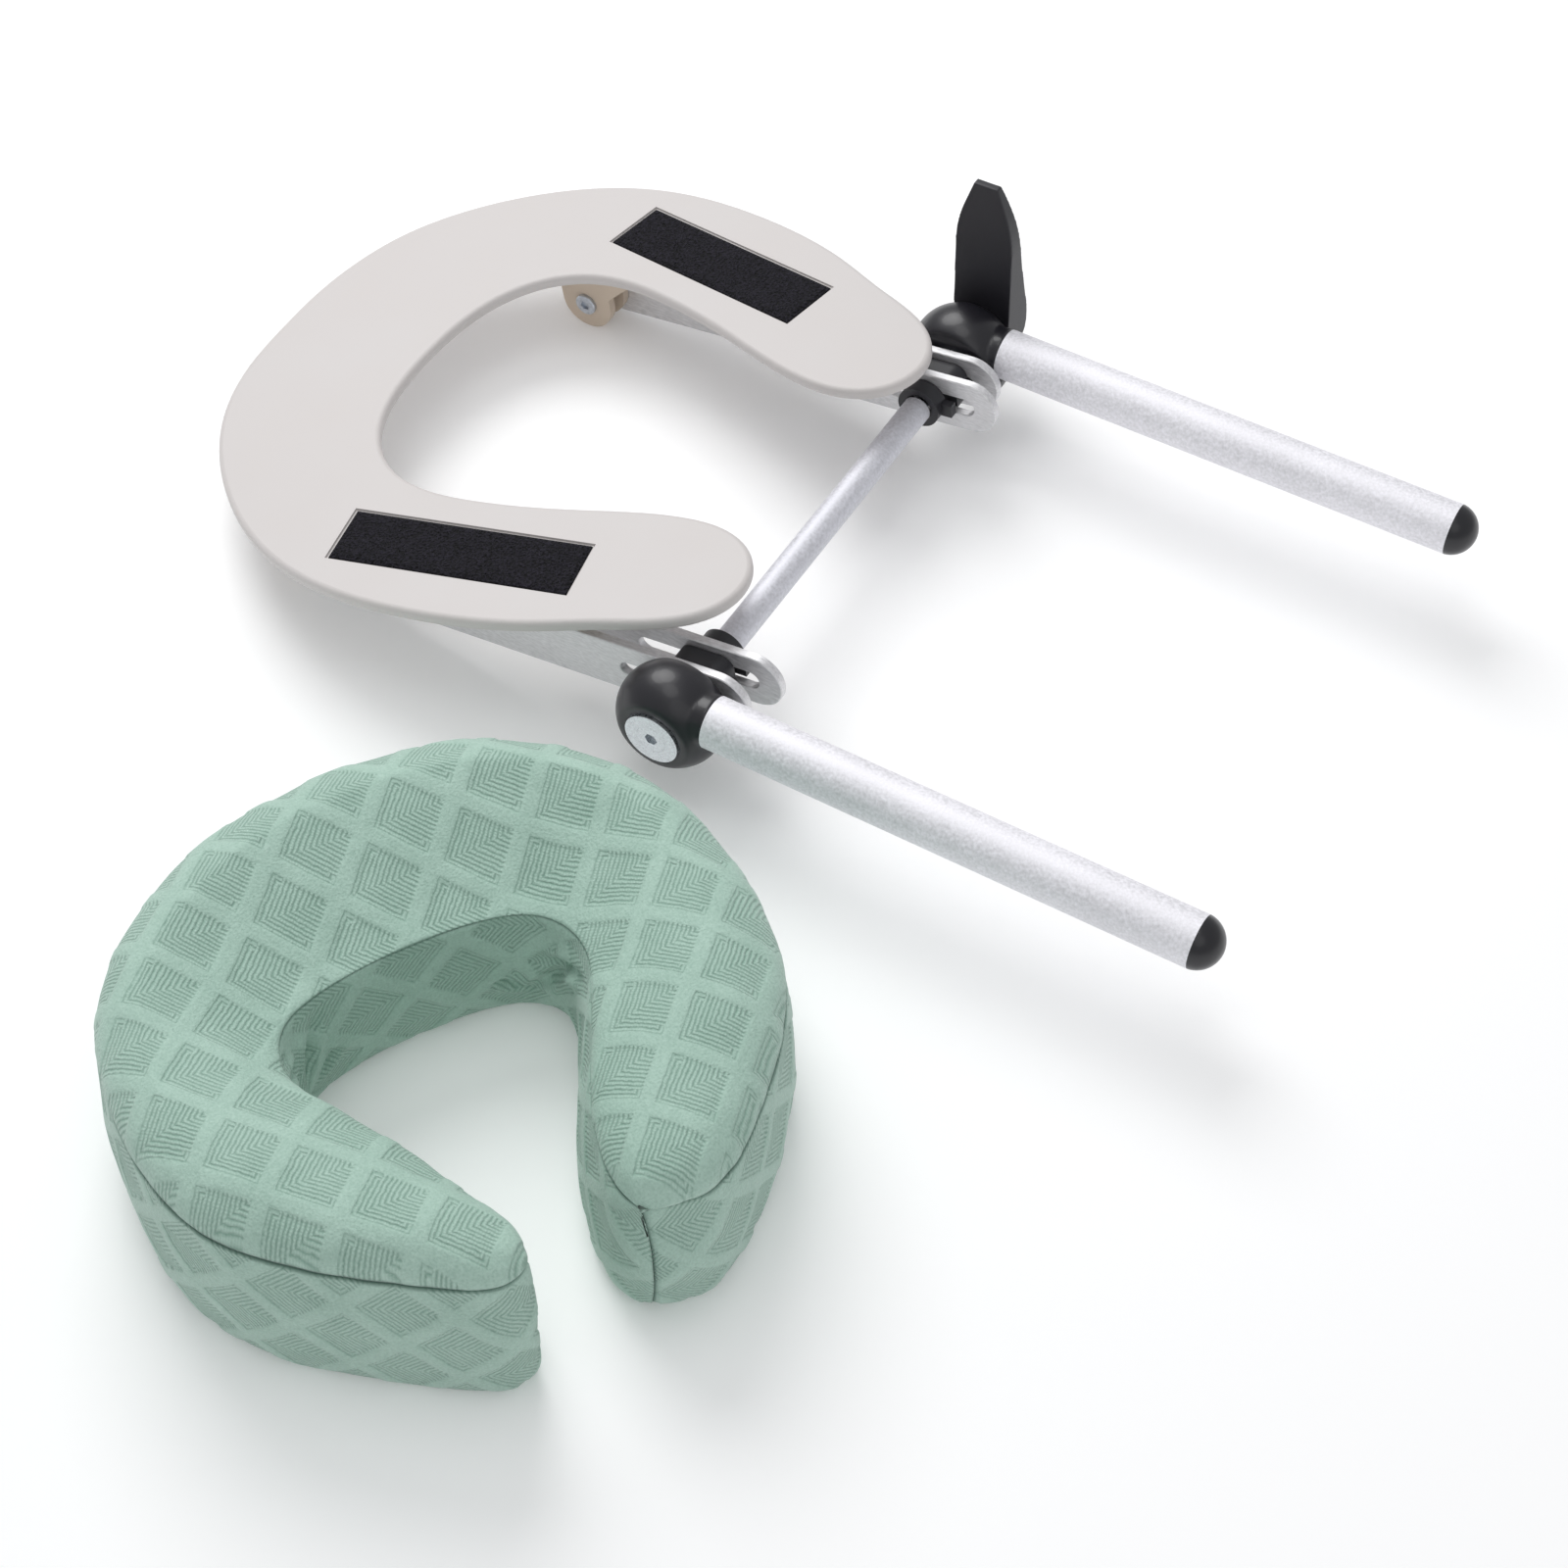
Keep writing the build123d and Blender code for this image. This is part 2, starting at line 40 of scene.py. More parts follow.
# ---- cushion: matched places round the horseshoe, from the left tip by the back to the right tip ----
OUTER_EDGE = ((81, -18.5), (94, -20.5), (97.5, -35.5), (82, -61.5), (61, -89), (36, -111), (6, -121.5),
              (-30, -123), (-66, -115.5), (-100, -92), (-125, -54), (-134.5, -5), (-129, 44), (-105.5, 84),
              (-71, 107), (-34, 116), (4, 115.5), (35, 106.5), (61, 88), (82, 67), (94.5, 45), (89.5, 22.5))
INNER_EDGE = ((81, -18.5), (75.5, -20), (69, -22.2), (61, -25), (38, -34), (16, -46), (-4, -57),
              (-20, -62.5), (-36, -58), (-46, -44), (-50.5, -22), (-52, 0), (-50.5, 24), (-44, 43),
              (-30, 51.5), (-13, 50.5), (6, 43), (22, 35), (40, 27), (60, 21.5), (78, 19.5), (89.5, 22.5))
# At the same places: heights of the two seams, how far the top rises over them, how much of the back's
# slope it has, and how far the inner band leans in at the floor.
OUTER_SEAM = (71, 73, 73, 72, 71, 71, 70, 68, 66, 64, 63, 63, 63, 64, 65, 66, 66, 66, 66, 66, 67, 69)
INNER_SEAM = (71, 70, 68, 66, 64, 63, 62, 62, 62, 61, 61, 61, 61, 61, 62, 63, 63, 64, 64, 65, 67, 69)
CROWN_RISE = (0, 8, 14, 19, 20, 21, 21, 20, 19, 19, 20, 20, 20, 20, 20, 20, 21, 21, 20, 19, 14, 0)
BACK_SLOPE = (0, 0, 0, 0, 0, 0.1, 0.25, 0.5, 0.8, 1, 1, 1, 1, 1, 0.8, 0.5, 0.25, 0.1, 0, 0, 0, 0)
INNER_LEAN = (0, 1, 3, 5, 6, 6, 5, 3, 1, -1, -2, -2, -2, -1, 2, 5, 6, 6, 6, 5, 3, 0)
BAND_HEIGHT, TOP_WIDTH = 68.0, 85.0      # typical, for spacing the rows and the seams' width
BAND_BULGE, BULGE_STRETCH, BULGE_POWER = 3.0, 1.02, 0.8
BASE_TUCK, TUCK_SHARE = 3.0, 8 / 70
BASE_EDGE, BASE_HOLLOW = 0.3, 1.6
DOME_LEAN, DOME_FLAT, DOME_FULL = 0.93, 2.5, 0.62
SLOPE_FROM, SLOPE_LIFT, SLOPE_STEEP, SLOPE_EASE = 0.28, 0.16, 1.12, 0.22
PROUD, PROUD_FROM_SEAM, PROUD_SPREAD = 0.8, 5.0, 30.0
TIP_ROUND, TIP_BULGE = 9.0, 1.0
TIP_STATIONS, TIP_SMOOTHING, TIP_SHARE = 14, 10, 0.3
DENSE, STATIONS = 6000, 460
OUTER_ROWS, TOP_ROWS, BASE_ROWS = 46, 64, 14
SEAM_STEPS = (0.45, 1.1, 2.3)
SEAM_WIDTH, TIP_SEAM_WIDTH, SEAM_DEPTH = 0.42, 0.6, 1.3
MIDDLE_HEIGHT = 40.0
FOLD_DEPTH, FOLD_RIDGE = 1.6, 0.45
# Creases in the corners of the hole: middle, direction, length, width and depth.
FOLDS = (
    ((-37, 44, 30), (0.5, 0.4, 1.0), 16, 2.6, 2.6),
    ((-30, 47, 44), (1.0, 0.2, 0.5), 12, 2.4, 2.2),
    ((-41, -52, 34), (-0.2, 0.5, 1.0), 16, 2.6, 2.4),
    ((-32, -60, 46), (1.0, -0.3, 0.3), 14, 2.2, 2.2),
    ((-45, -44, 22), (0.1, 1.0, 0.7), 10, 2.2, 1.6),
    ((-47, 32, 20), (0.1, -1.0, 0.5), 10, 2.2, 1.5),
)

# ---- knit: the lattice of blocks (middle and half diagonals), and what a block holds ----
TOP_LATTICE = ((-34.7, 72.4), (19.6, 0.36), (0.49, 18.17))
BAND_HALF = (19.16, 19.85)
OUTER_PHASE = (61.0, 58.0)
INNER_PHASE = (52.0, 36.0)
BLOCK_MARGIN = 0.12
RIBS = 12
BLOCK_DEPTH = 0.7
BASE_BLOCK = 27.0

# ---- camera, as the photographer stood (metres, degrees, millimetres) ----
CAMERA_PLACE = (0.4414, -0.6254, 0.9283)
CAMERA_AZIMUTH, CAMERA_ELEVATION, CAMERA_ROLL = -59.61, 50.80, 0.09
CAMERA_LENS = 67.94

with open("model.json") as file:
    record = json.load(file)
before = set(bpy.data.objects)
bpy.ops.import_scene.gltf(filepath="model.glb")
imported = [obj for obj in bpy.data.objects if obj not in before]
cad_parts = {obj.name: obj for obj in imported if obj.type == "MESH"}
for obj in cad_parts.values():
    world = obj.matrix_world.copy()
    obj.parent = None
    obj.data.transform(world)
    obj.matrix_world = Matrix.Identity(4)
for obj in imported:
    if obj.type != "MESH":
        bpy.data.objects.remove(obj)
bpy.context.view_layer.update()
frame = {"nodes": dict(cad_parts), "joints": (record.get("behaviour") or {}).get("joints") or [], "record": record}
pivot = Vector(frame["joints"][0]["pos_m"])
to_struts = Matrix.Translation(pivot) @ Matrix.Rotation(math.radians(-STRUT_TILT), 4, "Y")
to_cushion = (Matrix.Translation((pivot.x + CUSHION_PLACE[0] * MM, pivot.y + CUSHION_PLACE[1] * MM, 0))
              @ Matrix.Rotation(math.radians(CUSHION_TURN), 4, "Z"))


# ---- node formulas --------------------------------------------------------
class Number:
    """A node's output that can stand in a formula."""

    def __init__(self, tree, socket):
        self.tree = tree
        self.socket = socket

    def math(self, operation, *others):
        node = self.tree.nodes.new("ShaderNodeMath")
        node.operation = operation
        for plug, value in zip(node.inputs, (self, *others)):
            if isinstance(value, Number):
                self.tree.links.new(value.socket, plug)
            else:
                plug.default_value = value
        return Number(self.tree, node.outputs[0])

    def __add__(self, other):
        return self.math("ADD", other)

    def __sub__(self, other):
        return self.math("SUBTRACT", other)

    def __mul__(self, other):
        return self.math("MULTIPLY", other)

    def flipped(self):
        return (self * -1.0) + 1.0

    def clipped(self):
        return self.math("MAXIMUM", 0.0).math("MINIMUM", 1.0)


class Material:
    """A new material, with short ways to add its nodes."""

    def __init__(self, name):
        self.made = bpy.data.materials.new(name)
        self.made.use_nodes = True
        self.tree = self.made.node_tree
        self.shader = self.tree.nodes["Principled BSDF"]

    def set(self, **values):
        for name, value in values.items():
            self.shader.inputs[name.replace("_", " ")].default_value = value
        return self

    def node(self, kind, **values):
        node = self.tree.nodes.new(kind)
        for name, value in values.items():
            setattr(node, name, value)
        return node

    def link(self, start, end):
        self.tree.links.new(start.socket if isinstance(start, Number) else start, end)

    def place(self, scale=(1, 1, 1)):
        coordinate = self.node("ShaderNodeTexCoord")
        mapping = self.node("ShaderNodeMapping")
        mapping.inputs["Scale"].default_value = scale
        self.link(coordinate.outputs["Object"], mapping.inputs["Vector"])
        return mapping.outputs["Vector"]

    def noise(self, size_mm, detail=3.0, stretch=(1, 1, 1)):
        """Noise from 0 to 1, whose grain is size_mm wide."""
        node = self.node("ShaderNodeTexNoise")
        node.inputs["Scale"].default_value = 1000.0 / size_mm
        node.inputs["Detail"].default_value = detail
        self.link(self.place(stretch), node.inputs["Vector"])
        return Number(self.tree, node.outputs["Fac"])

    def mix(self, share, low, high):
        node = self.node("ShaderNodeMix", data_type="RGBA")
        node.inputs[6].default_value = (*low, 1)
        node.inputs[7].default_value = (*high, 1)
        self.link(share, node.inputs[0])
        return node

    def colours(self, share, low, high):
        self.link(self.mix(share, low, high).outputs[2], self.shader.inputs["Base Color"])

    def roughness(self, share, low, high):
        self.link(share * (high - low) + low, self.shader.inputs["Roughness"])

    def bump(self, height, depth_mm, strength=1.0):
        node = self.node("ShaderNodeBump")
        node.inputs["Distance"].default_value = depth_mm * MM
        node.inputs["Strength"].default_value = strength
        self.link(height, node.inputs["Height"])
        self.link(node.outputs["Normal"], self.shader.inputs["Normal"])


def outer_edge_share(material, radius_mm):
    """From 0 on flat ground to 1 on an outer edge."""
    geometry = material.node("ShaderNodeNewGeometry")
    pointed = Number(material.tree, geometry.outputs["Pointiness"])
    return ((pointed - 0.52) * radius_mm * 8.0).clipped()


def metal(name, colour, rough, grain_mm, stretch=(1, 1, 1), depth_mm=0.02, metallic=1.0):
    made = Material(name)
    made.set(Metallic=metallic)
    grain = (made.noise(grain_mm, 2.0, stretch) - 0.5) * 2.6 + 0.5
    cloud = made.noise(grain_mm * 30, 2.0)
    dark = tuple(0.72 * c for c in colour)
    made.colours((grain * 0.7 + cloud * 0.4).clipped(), dark, colour)
    made.roughness(grain, rough * 0.85, rough * 1.2)
    made.bump(grain, depth_mm, 0.6)
    return made.made


def plastic(name, colour, rough, grain_mm, depth_mm, light=1.6, coat=0.0):
    made = Material(name)
    made.set(Coat_Weight=coat, Specular_IOR_Level=0.5)
    grain = made.noise(grain_mm, 4.0)
    cloud = made.noise(25.0, 3.0)
    bright = tuple(min(1.0, light * c) for c in colour)
    # The colour runs lighter towards the outer edges, by the share that the edge mask gives.
    made.colours((cloud - 0.3 + outer_edge_share(made, 0.6) * 0.5).clipped(), colour, bright)
    made.roughness(grain * 0.5 + cloud * 0.5, rough * 0.85, rough * 1.2)
    made.bump(grain, depth_mm, 0.5)
    return made.made


def board(name, colour):
    """Smooth satin board: nearly even colour, very fine grain, slightly rosier at its outer edges."""
    made = Material(name)
    made.set(Specular_IOR_Level=0.45)
    cloud = made.noise(45.0, 3.0)
    fine = made.noise(0.7, 3.0)
    rosy = (colour[0] * 0.985, colour[1] * 0.955, colour[2] * 0.935)
    made.colours((cloud * 0.6 + fine * 0.25 + outer_edge_share(made, 0.6)).clipped(), colour, rosy)
    made.roughness(fine * 0.4 + cloud * 0.6, 0.40, 0.52)
    made.bump(fine + cloud * 3.0, 0.03, 0.5)
    return made.made


def foam_material(name):
    made = Material(name)
    cells = made.node("ShaderNodeTexVoronoi")
    cells.inputs["Scale"].default_value = 900.0
    made.link(made.place(), cells.inputs["Vector"])
    depth = Number(made.tree, cells.outputs["Distance"])
    made.set(Roughness=0.95)
    made.colours(depth.clipped(), (0.60, 0.53, 0.38), (0.86, 0.80, 0.66))
    made.bump(depth, 0.4)
    return made.made


def hook_material(name):
    made = Material(name)
    made.set(Specular_IOR_Level=0.2)
    fibre = (made.noise(1.1, 2.0, (1, 1, 0.4)) - 0.5) * 3.0 + 0.5
    patches = made.noise(4.0, 3.0)
    dark, light = (0.001, 0.001, 0.0015), (0.034, 0.031, 0.044)
    made.colours((fibre * 0.8 + patches * 0.5 - 0.3).clipped(), dark, light)
    made.roughness(fibre, 0.55, 0.9)
    made.bump(fibre, 0.8)
    return made.made


def plain_cloth(name, dark, light, thread_mm):
    """A plain woven or looped tape."""
    made = Material(name)
    made.set(Sheen_Weight=0.25, Sheen_Roughness=0.5, Roughness=0.85)
    warp = made.node("ShaderNodeTexWave", bands_direction="X")
    weft = made.node("ShaderNodeTexWave", bands_direction="Y")
    for wave in (warp, weft):
        wave.inputs["Scale"].default_value = 160.0 / thread_mm
        wave.inputs["Distortion"].default_value = 1.5
        made.link(made.place(), wave.inputs["Vector"])
    threads = (Number(made.tree, warp.outputs["Fac"]) + Number(made.tree, weft.outputs["Fac"])) * 0.5
    blotch = made.noise(12.0)
    made.colours((threads * 0.6 + blotch * 0.4).clipped(), dark, light)
    made.bump(threads, 0.25)
    return made.made


def nested_ribs(made, p, q):
    """Height of a block's right-angled ribs, from 0 to 1, with a small hook in two of its corners."""
    p_end, q_end = p.flipped(), q.flipped()
    hook = 2.2 / RIBS
    left_corner = p.math("LESS_THAN", hook) * q_end.math("LESS_THAN", hook)
    right_corner = q.math("LESS_THAN", hook) * p_end.math("LESS_THAN", hook)
    nested = p.math("MINIMUM", q)
    at_left = p.math("MINIMUM", q_end)
    at_right = q.math("MINIMUM", p_end)
    nested = nested + (at_left - nested) * left_corner
    nested = nested + (at_right - nested) * right_corner
    nested = nested + (made.noise(2.2, 2.0) - 0.5) * 0.045
    return ((nested * (2 * math.pi * RIBS)).math("COSINE") * -0.5 + 0.5).math("POWER", 0.6)


def knit_height(made, sides):
    """Height of the knit from 0 to 1: ribbed blocks, and smooth bands between them."""
    wobble = made.noise(9.0, 2.0) - 0.5
    block_side = 1 - 2 * BLOCK_MARGIN
    p, q = (((side + wobble * 0.035).math("FRACT") - BLOCK_MARGIN) * (1 / block_side) for side in sides)
    nearest_end = p.flipped().math("MINIMUM", q.flipped())
    inside = (p.math("MINIMUM", q).math("MINIMUM", nearest_end) * 30.0 + 0.6).clipped()
    ribs = nested_ribs(made, p, q)
    stitches = (p.math("MAXIMUM", q) * (2 * math.pi * RIBS * 1.6)).math("COSINE") * 0.5 + 0.5
    yarn = (made.noise(1.0, 2.0) - 0.5) * 2.4 + 0.5
    pile = (made.noise(1.9, 3.0) - 0.5) * 1.3 + 0.5
    block = ribs * 0.48 + stitches * ribs * 0.16 + yarn * 0.22 + 0.12
    band = yarn * 0.30 + pile * 0.16 + 0.50
    return band + (block - band) * inside


def jacquard(name, dark, light, seam_colour):
    """The knitted cover: blocks of nested right-angled ribs between smooth bands, and its seams."""
    made = Material(name)
    made.set(Sheen_Weight=0.25, Sheen_Roughness=0.45, Specular_IOR_Level=0.25)
    weave = made.node("ShaderNodeAttribute", attribute_name="weave")
    parts = made.node("ShaderNodeSeparateXYZ")
    made.link(weave.outputs["Vector"], parts.inputs[0])
    across, along, seam = (Number(made.tree, part) for part in parts.outputs)
    height = knit_height(made, (across, along))
    shade = (height * 0.75 + made.noise(22.0, 3.0) * 0.30 + 0.02).clipped()
    cloth = made.mix(shade, dark, light)
    with_seam = made.mix(seam, dark, seam_colour)
    made.link(cloth.outputs[2], with_seam.inputs[6])
    made.link(with_seam.outputs[2], made.shader.inputs["Base Color"])
    made.roughness(height.clipped(), 0.9, 0.72)
    made.bump(height, 0.62, 0.9)
    return made.made


# ---- pieces ---------------------------------------------------------------
def add_object(name, mesh, matrix=None):
    mesh.transform(matrix or Matrix.Identity(4))
    made = bpy.data.objects.new(name, mesh)
    bpy.context.scene.collection.objects.link(made)
    for polygon in mesh.polygons:
        polygon.use_smooth = True
    return made


def dress(piece, material, body=None, replaces=()):
    piece.data.materials.clear()
    piece.data.materials.append(material)
    if body:
        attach(piece, body)
    if replaces:
        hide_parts(*replaces)


def softened(node, voxel_mm, rounds):
    """A moulded copy of a CAD node, with its corners rounded."""
    copy = add_object(node + "_moulded", frame["nodes"][node].data.copy())
    remesh = copy.modifiers.new("remesh", "REMESH")
    remesh.mode = "VOXEL"
    remesh.voxel_size = voxel_mm * MM
    smooth = copy.modifiers.new("smooth", "SMOOTH")
    smooth.factor = 0.5
    smooth.iterations = rounds
    ready = bpy.data.meshes.new_from_object(copy.evaluated_get(bpy.context.evaluated_depsgraph_get()))
    copy.modifiers.clear()
    copy.data = ready
    for polygon in ready.polygons:
        polygon.use_smooth = True
    return copy


def smooth_line(points, count):
    """A smooth open curve through the points, at count even steps of the point number."""
    values = np.array(points, float).reshape(len(points), -1)
    size = len(values)
    grid = np.zeros((size, size))
    right = np.zeros_like(values)
    grid[0, 0] = grid[-1, -1] = 1.0
    for row in range(1, size - 1):
        grid[row, row - 1:row + 2] = (1.0, 4.0, 1.0)
        right[row] = 6 * (values[row + 1] - 2 * values[row] + values[row - 1])
    bend = np.linalg.solve(grid, right)
    where = np.linspace(0, size - 1, count)
    low = np.minimum(where.astype(int), size - 2)
    t = (where - low)[:, None]
    s = 1 - t
    return (s * values[low] + t * values[low + 1]
            + (s ** 3 - s) * bend[low] / 6 + (t ** 3 - t) * bend[low + 1] / 6)


def even_stations(outer, inner):
    """Which of the dense places to keep, evenly spaced along the middle of the horseshoe."""
    middle = (outer + inner) / 2
    steps = np.hypot(*np.diff(middle, axis=0).T) * 0.5 + np.hypot(*np.diff(outer, axis=0).T) * 0.5
    run = np.concatenate([[0], np.cumsum(steps)])
    return np.interp(np.linspace(0, run[-1], STATIONS), run, np.arange(len(run)))


def pick(values, places):
    grid = np.arange(len(values))
    return np.stack([np.interp(places, grid, values[:, i]) for i in range(values.shape[1])], axis=1)


def spaced(count, open_seam, length):
    """Shares from 0 to 1 across a panel that ends in a seam, and begins in one if open_seam is set."""
    near = [step / length for step in SEAM_STEPS]
    low = near if open_seam else []
    high = [1 - step for step in reversed(near)]
    first = near[-1] if open_seam else 0.0
    middle = list(np.linspace(first, 1 - near[-1], count))[1:-1]
    return np.array([0.0] + low + middle + high + [1.0])


class Horseshoe:
    """The cushion's edges and measures at every station round it."""

    def __init__(self):
        outer, inner = smooth_line(OUTER_EDGE, DENSE), smooth_line(INNER_EDGE, DENSE)
        places = even_stations(outer, inner)
        self.outer, self.inner = pick(outer, places), pick(inner, places)
        facts = np.stack([OUTER_SEAM, INNER_SEAM, CROWN_RISE, BACK_SLOPE, INNER_LEAN], axis=1)
        facts = pick(smooth_line(facts, DENSE), places).T
        self.outer_seam, self.inner_seam, self.rise, self.slope, self.lean = facts
        self.across = self.inner - self.outer
        middle = (self.outer + self.inner) / 2
        self.ends = np.minimum(run_along(middle), run_along(middle[::-1])[::-1])
        at_tip = np.exp(-(self.ends / TIP_ROUND) ** 2)[:, None]
        forward = np.array([1.0, 0.0]) * at_tip
        inward = unit(self.across)
        self.outer_side = unit(outward_of(self.outer, -inward) * (1 - at_tip) + forward)
        self.inner_side = unit(outward_of(self.inner, inward) * (1 - at_tip) + forward)
        self.fullness = 1 + TIP_BULGE * at_tip[:, 0]


def row_of(flat, height, weave, seam=0.0):
    """One point per station: its place, its two weave coordinates and its share of seam."""
    ones = np.ones(STATIONS)
    return np.column_stack([flat, height * ones, weave[0] * ones, weave[1] * ones, seam * ones])


def band_rows(edge, side, top, fullness, lean, phase, shares):
    """Rows of a side band; the shares run from 0 at the floor to 1 at the top seam."""
    run = run_along(edge)
    rows = []
    for share in shares:
        height = share * top
        bulge = BAND_BULGE * math.sin(math.pi * min(1.0, share * BULGE_STRETCH)) ** BULGE_POWER
        tuck = BASE_TUCK * (1 - min(1.0, share / TUCK_SHARE)) ** 2
        flat = edge + side * ((bulge - tuck) * fullness + lean * (1 - share))[:, None]
        i, j = -(run - phase[0]) / BAND_HALF[0], (height - phase[1]) / BAND_HALF[1]
        seam = seam_share((1 - share) * BAND_HEIGHT)
        rows.append(row_of(flat, np.maximum(height, BASE_EDGE), ((i + j) / 2 + 0.5, (i - j) / 2 + 0.5), seam))
    return rows


def crown(shoe, share):
    """Height of the top panel over the line between its seams, a share of the way across."""
    dome = (1 - abs(2 * share ** DOME_LEAN - 1) ** DOME_FLAT) ** DOME_FULL
    fall = max(0.0, share - SLOPE_FROM) / (1 - SLOPE_FROM)
    sunk = (1 + SLOPE_LIFT * shoe.slope) * (1 - shoe.slope * fall * (SLOPE_STEEP - SLOPE_EASE * fall))
    return shoe.rise * dome * sunk


def top_rows(shoe, shares):
    """Rows of the crowned top panel, from the outer seam to the inner one."""
    origin, step_i, step_j = TOP_LATTICE
    to_lattice = np.linalg.inv(np.array([step_i, step_j]).T)
    rows = []
    for share in shares:
        height = shoe.outer_seam + (shoe.inner_seam - shoe.outer_seam) * share + crown(shoe, share)
        from_seams = (share * TOP_WIDTH, (1 - share) * TOP_WIDTH)
        swell = [math.exp(-(away - PROUD_FROM_SEAM) ** 2 / PROUD_SPREAD) for away in from_seams]
        proud = PROUD * shoe.fullness * (swell[0] - swell[1])
        flat = shoe.outer + shoe.across * share + shoe.outer_side * proud[:, None]
        i, j = to_lattice @ (flat - origin).T
        seam = sum(seam_share(away) for away in from_seams)
        rows.append(row_of(flat, height, ((i + j) / 2 + 0.5, (j - i) / 2 + 0.5), seam))
    return rows


def base_rows(first, last):
    """Rows of the base, which is slightly hollow so that its trim shows."""
    rows = []
    for share in np.linspace(1, 0, BASE_ROWS)[1:-1]:
        flat = first[:, :2] + (last - first)[:, :2] * share
        rows.append(row_of(flat, BASE_HOLLOW, flat.T / BASE_BLOCK + 0.5))
    return rows


def cushion_grid():
    """The cushion's surface as stations x rows of points, with each point's weave place and seam share."""
    shoe = Horseshoe()
    up = spaced(OUTER_ROWS, False, BAND_HEIGHT)
    over = spaced(TOP_ROWS, True, TOP_WIDTH)[1:-1]
    upright = np.zeros(STATIONS)
    walls = band_rows(shoe.outer, shoe.outer_side, shoe.outer_seam, shoe.fullness, upright, OUTER_PHASE, up)
    walls += top_rows(shoe, over)
    walls += band_rows(shoe.inner, shoe.inner_side, shoe.inner_seam, shoe.fullness, shoe.lean, INNER_PHASE,
                       up[::-1])
    walls = np.stack(walls, axis=1)
    round_tips(walls, up)
    base = np.stack(base_rows(walls[:, 0], walls[:, -1]), axis=1)
    grid = np.concatenate([walls, base], axis=1)
    tip_seam = np.exp(-(shoe.ends / TIP_SEAM_WIDTH) ** 2)[:, None]
    outer_band = grid[:, :len(up), 5]
    np.maximum(outer_band, tip_seam, out=outer_band)
    return grid


def round_tips(walls, up):
    """Softens the corner where the two bands meet at each tip, more the lower it is under the top seam."""
    count = len(up)
    depth = np.clip((1 - up) / TIP_SHARE, 0, 1)[None, :, None]
    for order in (np.arange(TIP_STATIONS), STATIONS - 1 - np.arange(TIP_STATIONS)):
        outer, inner = walls[order][:, :count, :3], walls[order][:, -count:, :3][:, ::-1]
        path = np.concatenate([outer[::-1], inner[1:]])
        soft = path.copy()
        for _ in range(TIP_SMOOTHING):
            soft[1:-1] = (soft[:-2] + 2 * soft[1:-1] + soft[2:]) / 4
        path += (soft - path) * depth
        walls[order, :count, :3] = path[:TIP_STATIONS][::-1]
        walls[order, -count:, :3] = path[TIP_STATIONS - 1:][:, ::-1]


def unit(directions):
    return directions / np.maximum(np.hypot(*directions.T), 1e-9)[:, None]


def seam_share(distance_mm):
    return math.exp(-(distance_mm / SEAM_WIDTH) ** 2)


def outward_of(line, guess):
    """Unit sideways directions of a flat line, on the side that guess points to."""
    along = unit(np.gradient(line, axis=0))
    side = np.stack([along[:, 1], -along[:, 0]], axis=1)
    agree = np.sign((side * guess).sum(axis=1).mean())
    return side * agree


def run_along(line):
    return np.concatenate([[0], np.cumsum(np.hypot(*np.diff(line, axis=0).T))])


def grid_normals(points):
    """Unit normals of the closed surface, pointing out of it."""
    along = np.gradient(points, axis=0)
    around = np.roll(points, -1, axis=1) - np.roll(points, 1, axis=1)
    normal = np.cross(around, along)
    normal /= np.maximum(np.linalg.norm(normal, axis=2, keepdims=True), 1e-9)
    middle = len(points) // 2
    facing = (normal[middle, :, 2] * (points[middle, :, 2] - MIDDLE_HEIGHT)).sum()
    return normal * np.sign(facing)


def block_profile(weave):
    """From 0 on the smooth bands to 1 inside the ribbed blocks."""
    cell = np.abs(weave - np.floor(weave) - 0.5).max(axis=2)
    edge = 0.5 - BLOCK_MARGIN
    share = np.clip((edge - cell) / 0.05 + 0.5, 0, 1)
    return share * share * (3 - 2 * share)


def fold(points, middle, direction, length, width, depth):
    """How deep a crease through middle presses each point in."""
    away = points - np.array(middle, float)
    along = np.array(direction, float) / np.linalg.norm(direction)
    run = away @ along
    off = np.linalg.norm(away - run[:, :, None] * along, axis=2)
    valley = np.exp(-(off / width) ** 2)
    ridges = FOLD_RIDGE * np.exp(-((off - 2 * width) / width) ** 2)
    return FOLD_DEPTH * depth * np.exp(-(run / length) ** 2) * (valley - ridges)


def wide_seam(seam):
    """The seam's share spread over the rows beside it."""
    spread = seam.copy()
    for shift in range(1, 5):
        spread = np.maximum(spread, np.roll(seam, shift, axis=1) * (1 - 0.2 * shift))
        spread = np.maximum(spread, np.roll(seam, -shift, axis=1) * (1 - 0.2 * shift))
    return spread


def padded_surface(grid):
    """The grid's points with the knit's relief, the seams, the creases and a soft unevenness."""
    points, weave, seam = grid[:, :, :3], grid[:, :, 3:5], grid[:, :, 5]
    off_floor = np.clip((points[:, :, 2] - 1.0) / 3.0, 0, 1)
    calm = 1 - np.clip(wide_seam(seam), 0, 1)
    press = block_profile(weave) * BLOCK_DEPTH * calm + seam * SEAM_DEPTH
    for crease in FOLDS:
        press = press + fold(points, *crease)
    soft = np.array([noise.noise(Vector(p) * 0.035) * 0.9 + noise.noise(Vector(p) * 0.09) * 0.35
                     for p in points.reshape(-1, 3)]).reshape(press.shape)
    moved = points - grid_normals(points) * ((press - soft) * off_floor)[:, :, None]
    moved[:, :, 2] = np.maximum(moved[:, :, 2], 0.25)
    return moved


